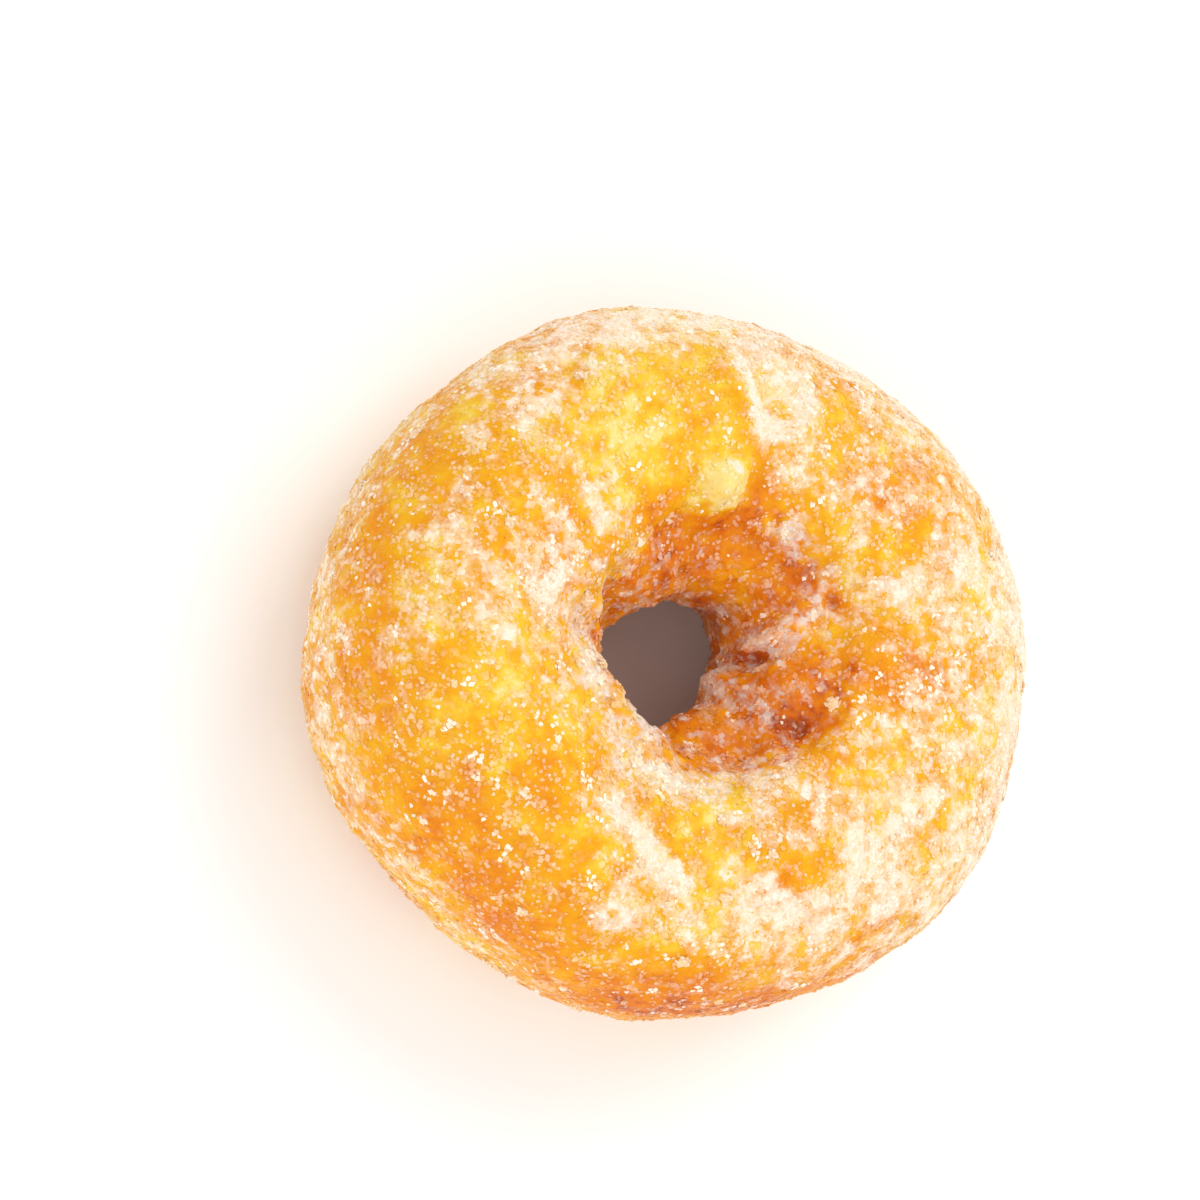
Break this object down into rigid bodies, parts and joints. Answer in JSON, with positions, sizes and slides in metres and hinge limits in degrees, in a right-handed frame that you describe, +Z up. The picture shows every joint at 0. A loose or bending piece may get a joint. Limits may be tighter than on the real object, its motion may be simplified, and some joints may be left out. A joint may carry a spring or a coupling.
{
  "type": "sugar ring doughnut",
  "caption": "Raised ring doughnut of fried dough lying flat, with a puckered hole, folds in its face and sugar clumps stuck to its golden crust.",
  "frame": {"origin": "middle of the ring on the surface it lies on, bottom centre of its box", "axes": "+Z up through the hole, out of the shown face; +X along the ring's longest width"},
  "size_m": [0.0918, 0.087, 0.0365],
  "materials": {
    "crust": "golden fried crust, soft and slightly rough, yellow where thin and orange where browned",
    "sugar": "clear to white granulated sugar crystals, glinting"
  },
  "bodies": {
    "root": {"doughnut": "crust"}
  },
  "joints": []
}
